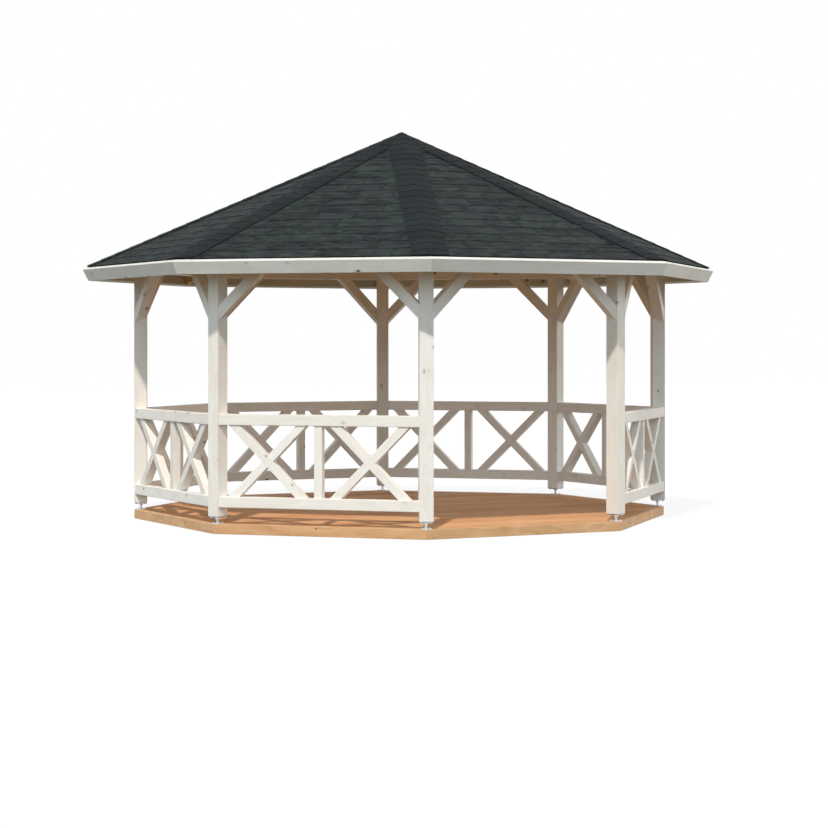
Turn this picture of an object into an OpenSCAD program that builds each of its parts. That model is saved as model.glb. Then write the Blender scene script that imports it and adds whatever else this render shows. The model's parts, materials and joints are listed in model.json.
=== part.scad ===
// Octagonal garden gazebo: an open timber frame on a raised deck, with a
// crossed balustrade in every bay but the entrance and a shingled pyramid roof.
// Millimetres, +Z up. The origin is on the ground under the centre of the deck,
// and the entrance bay faces -Y.

/* [Plan] */
// Radius of the circle through the centres of the posts
post_circle_r = 2470; // [2000:10:3200]

/* [Deck] */
// Thickness of the deck boards
deck_board_t = 26; // [18:1:40]
// Height of the joists under the deck boards
joist_h = 60; // [40:1:120]
// Width of a joist
joist_w = 45; // [35:1:70]
// Distance between the centres of two joists
joist_pitch = 480; // [300:10:600]
// Thickness of the boards around the rim of the deck
rim_t = 28; // [20:1:40]

/* [Post feet] */
// Height of the gap between the deck and the underside of a post
foot_h = 67; // [50:1:120]
// Diameter of the round base plate that is screwed to the deck
foot_base_d = 108; // [60:1:109]
// Thickness of the base plate
foot_base_t = 6; // [4:1:12]
// Diameter of the threaded rod
foot_rod_d = 24; // [16:1:30]
// Width of the square head plate under the post
foot_head_w = 110; // [80:1:118]
// Thickness of the head plate
foot_head_t = 12; // [4:1:12]
// Width across the flats of the height nut
foot_nut_w = 36; // [32:1:55]
// Height of the nut
foot_nut_h = 18; // [10:1:24]

/* [Posts] */
// Width of a square post
post_w = 120; // [112:1:160]
// Length of a post
post_h = 2168; // [1900:1:2600]
// Width of the chamfer on the long edges of a post
post_chamfer = 4; // [1:0.5:8]

/* [Balustrade] */
// Height of the handrail's top above the deck
handrail_top = 953; // [800:1:1150]
// Height of the gap between the deck and the bottom rail
toe_gap = 145; // [80:1:250]
// Height of a rail
rail_h = 95; // [60:1:120]
// Depth of a rail, across the bay
rail_t = 95; // [75:1:100]
// Width of the crossed bars and of the middle stile
bar_w = 72; // [40:1:80]
// Depth of the crossed bars and of the middle stile
bar_t = 72; // [40:1:75]
// Angle of the crossed bars from the horizontal
bar_angle = 45; // [40:1:55]

/* [Knee braces] */
// Width of a knee brace, seen from outside
brace_w = 90; // [60:1:120]
// Depth of a knee brace, across the bay
brace_t = 95; // [60:1:100]
// Distance from the beam down to the lowest point of a brace
brace_drop = 452; // [300:1:600]

/* [Beams] */
// Width of a beam
beam_w = 120; // [115:1:150]
// Height of a beam
beam_h = 120; // [100:1:200]

/* [Roof frame] */
// Pitch of the roof faces in degrees
roof_pitch = 25; // [20:1:32]
// Distance that the eave stands out from the line of the posts
roof_overhang = 503; // [400:1:650]
// Width of a hip rafter
rafter_w = 70; // [45:1:80]
// Depth of a hip rafter, square to its slope
rafter_d = 108; // [90:1:130]
// Width across the flats of the hub that the rafters meet at
hub_w = 200; // [180:1:260]
// Height of the hub
hub_h = 170; // [150:1:240]

/* [Roof covering] */
// Thickness of the roof boards
roof_board_t = 19; // [15:1:28]
// Thickness of a fascia board
fascia_t = 45; // [25:1:60]
// Height of a fascia board, square to the roof
fascia_h = 120; // [110:1:160]
// Thickness of the layers of shingles
shingle_t = 12; // [8:1:20]
// Width of a hip cap, seen from above
cap_w = 310; // [200:1:400]
// Thickness of a hip cap
cap_t = 8; // [4:1:12]

/* [Fits] */
// Gap left where two cut timber faces meet
joint_gap = 0.3; // [0.1:0.1:1]

/* [Hidden] */
$fn = 48;
sides = 8;
step = 360 / sides;
half = step / 2;
white = "#e3e2dc";
spruce = "#b58f62";
larch = "#d9a277";
felt = "#3c4043";
zinc = "#b9bdbf";

// Names of the corners and of the bays, counter-clockwise from +X
corner_names = ["right_back", "back_right", "back_left", "left_back",
                "left_front", "front_left", "front_right", "right_front"];
bay_names = ["right", "back_right", "back", "back_left",
             "left", "front_left", "front", "front_right"];
entrance = 6;
railed_bays = [for (k = [0:sides - 1]) if (k != entrance) k];

// Heights, from the ground up
deck_h = joist_h + deck_board_t;
post_z = deck_h + foot_h;
beam_z = post_z + post_h;
beam_top = beam_z + beam_h;

// Distances from the centre to the flat sides
deck_out = (post_circle_r + post_w / 2) * cos(half);
rim_in = deck_out - rim_t;
beam_out = post_circle_r * cos(half) + post_w / 2 * (cos(half) + sin(half));
bay_mid = post_circle_r * cos(half) + post_w / 2 * sin(half);
eave_out = post_circle_r * cos(half) + roof_overhang;

// Roof planes: the hip rafters start to bear on the beams at the post circle
hip_slope = atan(tan(roof_pitch) * cos(half));
rafter_rise = rafter_d / cos(hip_slope);
soffit_apex = beam_top + rafter_rise + tan(hip_slope) * post_circle_r;
roof_apex = soffit_apex + roof_board_t / cos(roof_pitch);
eave_run = eave_out / cos(roof_pitch);
fascia_run = eave_run - fascia_t;
hub_top = soffit_apex - tan(roof_pitch) * hub_w / 2 / cos(half) - joint_gap;

// Length that reaches past the object from any point of it
far = 2 * eave_run;

// Half length of the clear bay at distance x from the centre, between the posts
function bay_half(x) = x * tan(half) - (post_w / 2 + joint_gap) / cos(half);

// Upright prism with eight sides, out to the given distance of its flats
module octagon_prism(flat, h) {
    rotate(half) cylinder(r = flat / cos(half), h = h, $fn = sides);
}

// Upright slice of one bay, as wide as the angle between two corners
module bay_slice() {
    translate([joint_gap / sin(half), 0, 0])
        linear_extrude(far) polygon([[0, 0], [far, -far * tan(half)], [far, far * tan(half)]]);
}

// Upright block that fills a bay from post to post, t deep about the rail line
module bay_block(t, z_low, z_high) {
    near_x = bay_mid - t / 2;
    far_x = bay_mid + t / 2;
    translate([0, 0, z_low]) linear_extrude(z_high - z_low) polygon([
        [near_x, -bay_half(near_x)], [far_x, -bay_half(far_x)],
        [far_x, bay_half(far_x)], [near_x, bay_half(near_x)]]);
}

// Block in the frame of a roof face: run is down the slope, rise is square to it
module slope_block(run_from, run_to, rise_from, rise_to) {
    translate([0, 0, roof_apex]) rotate([0, roof_pitch, 0])
        translate([run_from, -far / 2, rise_from])
            cube([run_to - run_from, far, rise_to - rise_from]);
}

// One layer of a roof face, mitred at the two hips
module roof_layer(run_from, run_to, rise_from, rise_to) {
    intersection() {
        bay_slice();
        slope_block(run_from, run_to, rise_from, rise_to);
    }
}

// Space below the two roof faces that meet at a hip, down to the given run
module under_hip(run_to, rise_to) {
    intersection_for (side = [-1, 1]) rotate(side * half)
        slope_block(-far / 2, run_to, -far / 2, rise_to);
}

module at_corner(k) {
    rotate(half + k * step) children();
}

module at_bay(k) {
    rotate(k * step) children();
}

// Square post with chamfered edges, its faces square to the radius
module post(k) {
    a = post_w / 2;
    b = a - post_chamfer;
    color(white) at_corner(k) translate([post_circle_r, 0, post_z]) linear_extrude(post_h)
        polygon([[a, -b], [a, b], [b, a], [-b, a], [-a, b], [-a, -b], [-b, -a], [b, -a]]);
}

// Beam from post to post, mitred over the posts
module beam(k) {
    color(white) at_bay(k) intersection() {
        bay_slice();
        translate([beam_out - beam_w, -far / 2, beam_z]) cube([beam_w, far, beam_h]);
    }
}

// Bar of the cross in one half of a bay, leaning to the left or to the right
module cross_bar(middle_y, middle_z, lean) {
    translate([bay_mid, middle_y, middle_z]) rotate([lean * bar_angle, 0, 0])
        cube([bar_t, far, bar_w], center = true);
}

// Handrail, bottom rail, middle stile and a half-lapped cross in each half
module balustrade(k) {
    low = deck_h + toe_gap + rail_h;
    high = deck_h + handrail_top - rail_h;
    cross_y = (bay_half(bay_mid) + bar_w / 2) / 2;
    color(white) at_bay(k) {
        bay_block(rail_t, high, high + rail_h);
        bay_block(rail_t, low - rail_h, low);
        translate([bay_mid - bar_t / 2, -bar_w / 2, low]) cube([bar_t, bar_w, high - low]);
        intersection() {
            bay_block(bar_t, low, high);
            for (side = [-1, 1], lean = [-1, 1])
                cross_bar(side * cross_y, (low + high) / 2, lean);
        }
    }
}

// Knee brace at 45 degrees, cut to the side of the post and under the beam
module knee_brace(side) {
    foot_y = bay_half(bay_mid);
    foot_z = beam_z - brace_drop;
    width = brace_w * sqrt(2);
    intersection() {
        bay_block(brace_t, foot_z - brace_drop, beam_z);
        translate([bay_mid - brace_t / 2, 0, 0]) rotate([90, 0, 90]) linear_extrude(brace_t)
            polygon([for (p = [[brace_drop, -brace_drop], [brace_drop, width - brace_drop],
                               [-far / 4, width + far / 4], [-far / 4, far / 4]])
                     [side * (foot_y + p[0]), foot_z + p[1]]]);
    }
}

module knee_braces() {
    color(white) for (k = [0:sides - 1], side = [-1, 1]) at_bay(k) knee_brace(side);
}

// Adjustable foot: round base plate, threaded rod, nut and square head plate
module post_foot() {
    head_z = foot_h - foot_head_t;
    cylinder(d = foot_base_d, h = foot_base_t);
    cylinder(d = foot_rod_d, h = head_z);
    translate([0, 0, head_z - foot_nut_h])
        cylinder(d = foot_nut_w / cos(30), h = foot_nut_h, $fn = 6);
    translate([-foot_head_w / 2, -foot_head_w / 2, head_z])
        cube([foot_head_w, foot_head_w, foot_head_t]);
}

module post_feet() {
    color(zinc) for (k = [0:sides - 1]) at_corner(k) translate([post_circle_r, 0, deck_h]) post_foot();
}

// Hip rafter: top backed to both roof faces, bird's mouth over the beam corner
module hip_rafter() {
    inner_r = hub_w / 2 + joint_gap;
    outer_r = eave_out / cos(half);
    function under(r) = soffit_apex - rafter_rise - tan(hip_slope) * r;
    difference() {
        intersection() {
            bay_slice();
            under_hip(fascia_run - joint_gap, -roof_board_t);
            rotate([90, 0, 0]) linear_extrude(rafter_w, center = true) polygon([
                [inner_r, under(inner_r)], [outer_r, under(outer_r)],
                [outer_r, soffit_apex], [inner_r, soffit_apex]]);
        }
        rotate(half) octagon_prism(beam_out + joint_gap, beam_top);
    }
}

module hip_rafters() {
    color(spruce) for (k = [0:sides - 1]) at_corner(k) hip_rafter();
}

// Hub under the apex, with a flat for the end of each rafter
module roof_hub() {
    color(spruce) translate([0, 0, hub_top - hub_h]) rotate(half) octagon_prism(hub_w / 2, hub_h);
}

module roof_boards(k) {
    color(spruce) at_bay(k)
        roof_layer(-roof_board_t, fascia_run - joint_gap, -roof_board_t, 0);
}

// Fascia boards stand square to the roof, with their top edge in line with the boards
module fascia_boards() {
    color(white) for (k = [0:sides - 1]) at_bay(k)
        roof_layer(fascia_run, eave_run, -fascia_h, 0);
}

module roof_shingles() {
    color(felt) for (k = [0:sides - 1]) at_bay(k)
        roof_layer(-shingle_t, fascia_run, 0, shingle_t);
}

// Folded cap along each hip, over the edges of the two faces' shingles
module hip_caps() {
    color(felt) for (k = [0:sides - 1]) at_corner(k) intersection() {
        bay_slice();
        translate([0, -cap_w / 2, 0]) cube([far, cap_w, far]);
        difference() {
            under_hip(fascia_run, shingle_t + cap_t);
            under_hip(far, shingle_t);
        }
    }
}

module deck_boards() {
    color(larch) translate([0, 0, joist_h]) octagon_prism(rim_in - joint_gap, deck_board_t);
}

module deck_joists() {
    count = floor((rim_in - joist_w) / joist_pitch);
    color(larch) intersection() {
        octagon_prism(rim_in - joint_gap, joist_h);
        for (i = [-count:count])
            translate([i * joist_pitch - joist_w / 2, -far / 2, 0]) cube([joist_w, far, joist_h]);
    }
}

module deck_rim_boards() {
    color(larch) for (k = [0:sides - 1]) at_bay(k) intersection() {
        bay_slice();
        translate([rim_in, -far / 2, 0]) cube([rim_t, far, deck_h]);
    }
}

for (k = [0:sides - 1]) {
    post(k);
    beam(k);
    roof_boards(k);
}
for (k = railed_bays) {
    balustrade(k);
}
post_feet();
knee_braces();
hip_rafters();
roof_hub();
fascia_boards();
roof_shingles();
hip_caps();
deck_boards();
deck_joists();
deck_rim_boards();
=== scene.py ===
# %% [markdown]
# # An eight-sided garden gazebo
# This lesson dresses a garden gazebo: a timber pavilion with a deck, posts on steel feet, crossed
# balustrades, knee braces, a ring of beams and a shingled roof. Its construction comes in as a fixed
# frame, at real size and in metres. Each timber is modelled again as a joiner would cut it, so that
# boards, joints and shingles are real shapes and the finish can follow the grain of every board.

# %% Load the frame
import json
import math

import bpy
from mathutils import Matrix, Vector

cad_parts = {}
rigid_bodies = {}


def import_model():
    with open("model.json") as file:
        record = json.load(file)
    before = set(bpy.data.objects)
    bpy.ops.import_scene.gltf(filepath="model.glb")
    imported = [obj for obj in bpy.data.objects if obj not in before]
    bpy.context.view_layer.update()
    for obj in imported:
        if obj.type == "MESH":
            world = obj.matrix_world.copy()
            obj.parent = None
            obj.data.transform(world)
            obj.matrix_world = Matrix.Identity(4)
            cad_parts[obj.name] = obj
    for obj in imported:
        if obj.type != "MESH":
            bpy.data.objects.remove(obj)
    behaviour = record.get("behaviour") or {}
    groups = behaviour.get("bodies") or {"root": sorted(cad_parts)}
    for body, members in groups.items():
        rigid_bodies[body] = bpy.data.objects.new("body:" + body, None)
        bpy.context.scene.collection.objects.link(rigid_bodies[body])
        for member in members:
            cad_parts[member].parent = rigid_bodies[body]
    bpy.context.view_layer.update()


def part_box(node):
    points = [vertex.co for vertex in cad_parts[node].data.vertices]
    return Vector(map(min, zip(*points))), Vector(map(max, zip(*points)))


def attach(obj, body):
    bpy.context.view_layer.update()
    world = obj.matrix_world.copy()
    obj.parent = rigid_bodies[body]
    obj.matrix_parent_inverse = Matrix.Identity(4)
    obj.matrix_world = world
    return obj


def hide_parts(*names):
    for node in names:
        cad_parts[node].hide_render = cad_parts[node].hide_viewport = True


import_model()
scene = bpy.context.scene
scene.view_settings.view_transform = "Standard"

# %% [markdown]
# ## Eight sides
# The gazebo is a regular octagon, and its bays are named for where they lie, with the entrance in front.
# A piece is modelled once, in the bay that points along X or on a corner that is turned onto X, and
# copied round the middle. Most sizes are read from the boxes of the frame's nodes. Only what a box can't
# tell, such as a timber's section, is written as a number.

# %% Bays and corners
SIDES = 8
TURN = math.tau / SIDES
HALF = TURN / 2
# Directions in the bay that points along X: away from the middle, along the side of the octagon, and up
OUT = Vector((1, 0, 0))
ALONG = Vector((0, 1, 0))
UP = Vector((0, 0, 1))
BAYS = ("right", "back_right", "back", "back_left", "left", "front_left", "front", "front_right")
CORNERS = ("right_back", "back_right", "back_left", "left_back",
           "left_front", "front_left", "front_right", "right_front")
bay_turns = {bay: TURN * number for number, bay in enumerate(BAYS)}
corner_turns = {corner: HALF + TURN * number for number, corner in enumerate(CORNERS)}
print("bays", len(bay_turns), "corners", len(corner_turns))

# %% [markdown]
# ## The camera
# The picture was taken with a long lens from about 21 metres away, at a person's eye height, a little to
# the left of the entrance. Upright posts stay parallel in it, so the camera looks level and the frame is
# shifted instead of tilted. A lens in pixels turns into millimetres through the width of the sensor.

# %% Camera
IMAGE = 828
LENS_PIXELS = 2227.6
MIDDLE_PIXEL = (401.7, 342.8)
SENSOR_MM = 36
VIEW_TURN = math.radians(-27.237)
VIEW_DISTANCE = 21.22
EYE_HEIGHT = 1.655
FAR_CLIP = 200

bpy.ops.object.select_all(action="DESELECT")
bpy.ops.object.camera_add(
    location=(math.sin(VIEW_TURN) * VIEW_DISTANCE, -math.cos(VIEW_TURN) * VIEW_DISTANCE, EYE_HEIGHT),
    rotation=(math.radians(90), 0, VIEW_TURN))
camera = bpy.context.object
camera.name = "camera"
camera.data.sensor_width = SENSOR_MM
camera.data.lens = LENS_PIXELS / IMAGE * SENSOR_MM
camera.data.shift_x = (IMAGE / 2 - MIDDLE_PIXEL[0]) / IMAGE
camera.data.shift_y = (MIDDLE_PIXEL[1] - IMAGE / 2) / IMAGE
camera.data.clip_end = FAR_CLIP
scene.camera = camera
print("lens", round(camera.data.lens, 2), "mm")

# %% [markdown]
# ## Adding shader nodes
# Every finish below is a small network of nodes. One helper adds a node, sets its switches and links its
# inputs, which keeps the networks short to read. Colours are written as sRGB hex codes, as a paint chart
# gives them, and turned into the linear values that a renderer adds up.

# %% Helpers for finishes
def colour(code):
    """Linear colour, as Blender keeps it, from an sRGB hex code."""
    parts = [int(code[place:place + 2], 16) / 255 for place in (1, 3, 5)]
    return [p / 12.92 if p <= 0.04045 else ((p + 0.055) / 1.055) ** 2.4 for p in parts] + [1.0]


def add(tree, kind, inputs=None, **settings):
    """Adds a shader node. Settings are its switches, and each input is a socket to link or a value."""
    made = tree.nodes.new("ShaderNode" + kind)
    for key, value in settings.items():
        setattr(made, key, value)
    for key, value in (inputs or {}).items():
        if isinstance(value, bpy.types.NodeSocket):
            tree.links.new(value, made.inputs[key])
        else:
            made.inputs[key].default_value = value
    return made


def new_finish(name):
    """A material with nothing in it but its surface shader, its node tree, and that shader."""
    finish = bpy.data.materials.new(name)
    finish.use_nodes = True
    return finish, finish.node_tree, finish.node_tree.nodes["Principled BSDF"]


print("mid grey as linear", [round(part, 3) for part in colour("#808080")])

# %% [markdown]
# ## Daylight
# The picture has one warm sun, high and a little left of the camera, and cooler light from a pale sky
# that is brightest near the horizon and on the right. A sun lamp two degrees wide throws lattice shadows
# with slightly soft edges. Three more sun lamps, low and so wide that their shadows melt away, stand for
# the bright horizon. All are kept at a level where a white board renders a little under white.

# %% Sun and horizon
SUN_HEIGHT = math.radians(51.8)
SUN_TURN = VIEW_TURN - math.radians(9.9)
SUN_STRENGTH = 2.8
SUN_WIDTH = 2.2
HORIZON_HEIGHT = math.radians(18)
HORIZON_WIDTH = 36
WARM = colour("#fff3ea")
COOL = colour("#e6f5ff")
# Each part of the horizon: its turn from the view in degrees, its strength and its tint
HORIZON = {
    "horizon_front": (-3, 0.65, COOL),
    "horizon_left": (-73, 0.36, COOL),
    "horizon_right": (112, 1.35, WARM),
}


def sun_lamp(name, height, turn, strength, tint, width):
    """A sun lamp that shines from a height and a turn, and is so many degrees wide."""
    bpy.ops.object.light_add(type="SUN", rotation=(math.radians(90) - height, 0, turn))
    lamp = bpy.context.object
    lamp.name = name
    lamp.data.energy = strength
    lamp.data.color = tint[:3]
    lamp.data.angle = math.radians(width)


sun_lamp("sun", SUN_HEIGHT, SUN_TURN, SUN_STRENGTH, WARM, SUN_WIDTH)
for name, (turn, strength, tint) in HORIZON.items():
    sun_lamp(name, HORIZON_HEIGHT, VIEW_TURN + math.radians(turn), strength, tint, HORIZON_WIDTH)
print("sun", SUN_STRENGTH, "horizon", len(HORIZON), "lamps")

# %% [markdown]
# ## A white sky
# The picture has a plain white ground. Stronger lamps would make one, but would bleach the gazebo as
# well. So the sky looks white to the camera through the Light Path node, while the light that it sends to
# the gazebo stays modest.

# %% Sky
SKY_STRENGTH = 0.5
WHITE = colour("#ffffff")


def looks_white(tree, seen, lit, output):
    """Links output to the seen shader for rays from the camera, gloss and glass, and to lit for the rest."""
    path = add(tree, "LightPath")
    direct = add(tree, "Math", {0: path.outputs["Is Camera Ray"], 1: path.outputs["Is Glossy Ray"]},
                 operation="MAXIMUM")
    all_seen = add(tree, "Math", {0: direct.outputs[0], 1: path.outputs["Is Transmission Ray"]},
                   operation="MAXIMUM")
    mixed = add(tree, "MixShader", {0: all_seen.outputs[0], 1: lit.outputs[0], 2: seen.outputs[0]})
    tree.links.new(mixed.outputs[0], output)


sky = bpy.data.worlds.new("pale_sky")
scene.world = sky
sky.use_nodes = True
sky_tree = sky.node_tree
sky_light = sky_tree.nodes["Background"]
sky_light.inputs["Color"].default_value = COOL
sky_light.inputs["Strength"].default_value = SKY_STRENGTH
sky_seen = add(sky_tree, "Background", {"Color": WHITE, "Strength": 1.0})
looks_white(sky_tree, sky_seen, sky_light, sky_tree.nodes["World Output"].inputs["Surface"])
print("sky lights with", SKY_STRENGTH)

# %% [markdown]
# ## A white floor
# The floor does the same: it looks white to the camera, and throws no more light up than bare ground
# would. A white floor without this trick would brighten the underside of the roof. A share of plain
# diffuse floor keeps the gazebo's shadow.

# %% Floor
FLOOR_SIZE = 120
FLOOR_DROP = 0.001
SHADOW_SHARE = 0.12

bpy.ops.object.select_all(action="DESELECT")
bpy.ops.mesh.primitive_plane_add(size=FLOOR_SIZE, location=(0, 0, -FLOOR_DROP))
floor = bpy.context.object
floor.name = "studio_floor"
floor_finish, floor_tree, _ = new_finish("pale_studio_floor")
floor_white = add(floor_tree, "Emission", {"Color": WHITE, "Strength": 1.0})
floor_plain = add(floor_tree, "BsdfDiffuse", {"Color": WHITE})
floor_seen = add(floor_tree, "MixShader",
                 {0: SHADOW_SHARE, 1: floor_white.outputs[0], 2: floor_plain.outputs[0]})
floor_lit = add(floor_tree, "BsdfDiffuse", {"Color": colour("#655d4e")})
looks_white(floor_tree, floor_seen, floor_lit, floor_tree.nodes["Material Output"].inputs["Surface"])
floor.data.materials.append(floor_finish)
print("floor", FLOOR_SIZE, "m wide")

# %% [markdown]
# ## Timber: stripes
# Spruce and larch are softwoods: pale early wood and darker late wood lie in rings round the pith, and a
# saw shows them as long stripes and flames along a board. The pattern could be drawn on Object
# coordinates, but then all boards would share one log. Here each board carries an attribute called grain,
# its own coordinates with X along the board. Rings are about 4 mm apart on the real wood, and finer than
# a pixel here, so they are drawn three to five times as coarse.

# %% Stripes of the grain
MM = 0.001
# A wave texture of scale 1 repeats every 314 mm
WAVE_PERIOD = 314 * MM


def repeats(along, across):
    """Scale of a pattern with that size along a board and across it."""
    return 1 / along, 1 / across, 1 / across


# The pith wanders along the log, by up to 90 mm across it, which bends stripes into flames
WANDER = repeats(769 * MM, 200 * MM)
WANDER_REACH = (0, 90 * MM, 90 * MM)
# Fibres are hair-fine, and drawn 200 by 8.3 mm so that they show
FIBRES = repeats(200 * MM, 8.33 * MM)


def wood_stripes(tree, grain, ring, contrast):
    """Share of late wood: rings with a sharp edge, broken up by fibres."""
    stretch = add(tree, "Mapping", {"Vector": grain, "Scale": WANDER})
    wander = add(tree, "TexNoise", {"Vector": stretch.outputs[0], "Scale": 1.0, "Detail": 2.0})
    bent = add(tree, "VectorMath", {0: wander.outputs["Color"], 1: WANDER_REACH, 2: grain},
               operation="MULTIPLY_ADD")
    rings = add(tree, "TexWave", {"Vector": bent.outputs[0], "Scale": WAVE_PERIOD / ring, "Detail": 0.0},
                wave_type="RINGS", rings_direction="X", wave_profile="SAW")
    thread = add(tree, "Mapping", {"Vector": grain, "Scale": FIBRES})
    fibres = add(tree, "TexNoise", {"Vector": thread.outputs[0], "Scale": 1.0, "Detail": 3.0})
    striped = add(tree, "Math", {0: rings.outputs["Fac"], 1: contrast * 0.5, 2: contrast * -0.25},
                  operation="MULTIPLY_ADD")
    streaked = add(tree, "Math", {0: fibres.outputs["Fac"], 1: contrast, 2: striped.outputs[0]},
                   operation="MULTIPLY_ADD")
    return streaked.outputs[0]


print("a ring of 4 mm is drawn 12 mm wide, at a wave scale of", round(WAVE_PERIOD / (12 * MM), 1))

# %% [markdown]
# ## Timber: tones and knots
# No two boards have the same tone, and a tone drifts along a board. An attribute called board gives each
# one a number for it. Knots are the stubs of branches: dark, round spots with a darker halo of bent
# grain. They could be painted one by one, but a Voronoi texture has one point in every cell, and a share
# of them can be picked.

# %% Tones and knots
# Each board has paler and darker stretches about 0.3 m long
PATCHES = repeats(303 * MM, 111 * MM)
BOARD_SHARE = 0.55
TONE_LOW, TONE_HIGH = 0.35, 1.2
# A cell has one knot at most, 6 to 13 mm in radius across the board. The least radius and its spread are
# shares of a cell
KNOT_CELLS = repeats(166.67 * MM, 111.1 * MM)
KNOT_LEAST = 0.055
KNOT_SPREAD = 0.06
HALO_REACH = 2.6
HALO_SHARE = 0.22


def board_tone(tree, grain, board, worn):
    """Colour that a board's wood is multiplied by, from white to worn."""
    cloud = add(tree, "Mapping", {"Vector": grain, "Scale": PATCHES})
    patches = add(tree, "TexNoise", {"Vector": cloud.outputs[0], "Scale": 1.0, "Detail": 1.0})
    tone = add(tree, "Math", {0: board, 1: BOARD_SHARE, 2: patches.outputs["Fac"]}, operation="MULTIPLY_ADD")
    shade = add(tree, "MapRange", {"Value": tone.outputs[0], "From Min": TONE_LOW, "From Max": TONE_HIGH})
    toned = add(tree, "Mix", {0: shade.outputs[0], 6: WHITE, 7: colour(worn)}, data_type="RGBA")
    return toned.outputs[2]


def knot_spots(tree, grain, knot_share):
    """Share of knot: full in its core, slight in its halo, none elsewhere."""
    cells = add(tree, "Mapping", {"Vector": grain, "Scale": KNOT_CELLS})
    branch = add(tree, "TexVoronoi", {"Vector": cells.outputs[0], "Scale": 1.0})
    lot = add(tree, "SeparateColor", {0: branch.outputs["Color"]})
    size = add(tree, "Math", {0: lot.outputs[1], 1: KNOT_SPREAD, 2: KNOT_LEAST}, operation="MULTIPLY_ADD")
    reach = add(tree, "Math", {0: branch.outputs["Distance"], 1: size.outputs[0]}, operation="DIVIDE")
    chosen = add(tree, "Math", {0: lot.outputs[0], 1: knot_share}, operation="LESS_THAN")
    core = add(tree, "MapRange", {"Value": reach.outputs[0], "From Min": 1.05, "From Max": 0.75})
    halo = add(tree, "MapRange", {"Value": reach.outputs[0], "From Min": HALO_REACH, "From Max": 1.0,
                                  "To Max": HALO_SHARE})
    both = add(tree, "Math", {0: core.outputs[0], 1: halo.outputs[0]}, operation="MAXIMUM")
    spots = add(tree, "Math", {0: both.outputs[0], 1: chosen.outputs[0]}, operation="MULTIPLY")
    return spots.outputs[0]


print("knots are at least", round(KNOT_LEAST / KNOT_CELLS[1] / MM, 1), "mm in radius across the board")

# %% [markdown]
# ## Timber: the finishes
# The posts and rails are spruce under a thin white stain, the roof is bare spruce, and the deck is
# impregnated larch. All are planed softwood, so one function builds them from stripes, tones and knots. A
# coat of plain colour would do from afar, but it is the faint stripes and knots that say wood.

# %% Timber finishes
def timber(name, early, late, knot, worn, contrast, knot_share, rough, ring=12 * MM):
    """Planed softwood: rings, fibres, knots, and a tone of its own for every board."""
    finish, tree, surface = new_finish(name)
    grain = add(tree, "Attribute", attribute_name="grain").outputs["Vector"]
    board = add(tree, "Attribute", attribute_name="board").outputs["Fac"]
    stripes = wood_stripes(tree, grain, ring, contrast)
    wood = add(tree, "Mix", {0: stripes, 6: colour(early), 7: colour(late)}, data_type="RGBA")
    plain = add(tree, "Mix", {0: 1.0, 6: wood.outputs[2], 7: board_tone(tree, grain, board, worn)},
                data_type="RGBA", blend_type="MULTIPLY")
    spots = knot_spots(tree, grain, knot_share)
    final = add(tree, "Mix", {0: spots, 6: plain.outputs[2], 7: colour(knot)}, data_type="RGBA")
    tree.links.new(final.outputs[2], surface.inputs["Base Color"])
    surface.inputs["Roughness"].default_value = rough
    surface.inputs["Specular IOR Level"].default_value = 0.35
    relief = add(tree, "Bump", {"Height": stripes, "Strength": 0.25, "Distance": 1.5 * MM})
    tree.links.new(relief.outputs[0], surface.inputs["Normal"])
    return finish


# Spruce under a thin white stain: warm white, faint stripes, knots that show through as grey-brown spots
STAINED = {"knot": "#6b5a48", "worn": "#f2efe9", "contrast": 0.55, "knot_share": 0.5, "rough": 0.55}
white_spruce = timber("white_stained_spruce", early="#f5f4ef", late="#e2dfd7", **STAINED)
# The fascia: the same white, painted a little greyer and cooler as shade on its faces, which lean out and
# down
shaded_fascia_spruce = timber("white_stained_fascia_painted_shade", early="#e7eae6", late="#d3d5ce", **STAINED)
# Bare spruce: honey yellow with orange late wood
bare_spruce = timber("natural_spruce", early="#f6dda6", late="#dab674", knot="#6b4526", worn="#f0e4cc",
                     contrast=0.7, knot_share=0.35, rough=0.65)
# Impregnated larch decking: warm red-brown, with a darker stripe and a dull, dry surface
deck_larch = timber("brown_deck_timber", early="#f8cf9f", late="#c58f5c", knot="#6d4428", worn="#d6b89a",
                    contrast=0.9, knot_share=0.25, rough=0.7, ring=16 * MM)
# The rim is the same timber on its heart side: yellower, with more knots and plainer flames
rim_larch = timber("brown_rim_timber", early="#e6c39a", late="#c39a70", knot="#6d4428", worn="#ead8c6",
                   contrast=0.8, knot_share=0.4, rough=0.7, ring=20 * MM)
print("timbers", [wood.name for wood in (white_spruce, shaded_fascia_spruce, bare_spruce, deck_larch, rim_larch)])

# %% [markdown]
# ## Bitumen shingles
# A shingle is a glass mat soaked in bitumen and pressed full of crushed slate, so it is nearly black,
# dull and gritty, and each tab has a slightly different mix of grains. The grains are 1 to 2 mm, and
# clumps of 10 mm are drawn so that they show. A picture of slate would repeat over the roof. Noise
# doesn't, and keeps its real size.

# %% Shingle finish
# Dust and thin spots lie in streaks along a course, 56 mm high and 167 mm long
STREAKS = repeats(55.6 * MM, 166.7 * MM)
# Slate of two colours drifts over the roof in clouds about 0.3 m wide
CLOUDS = 1 / (303 * MM)
TAB_SHARE = 0.3
GRIT_SHARE = 0.25
DUST_SHARE = 0.9


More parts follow.
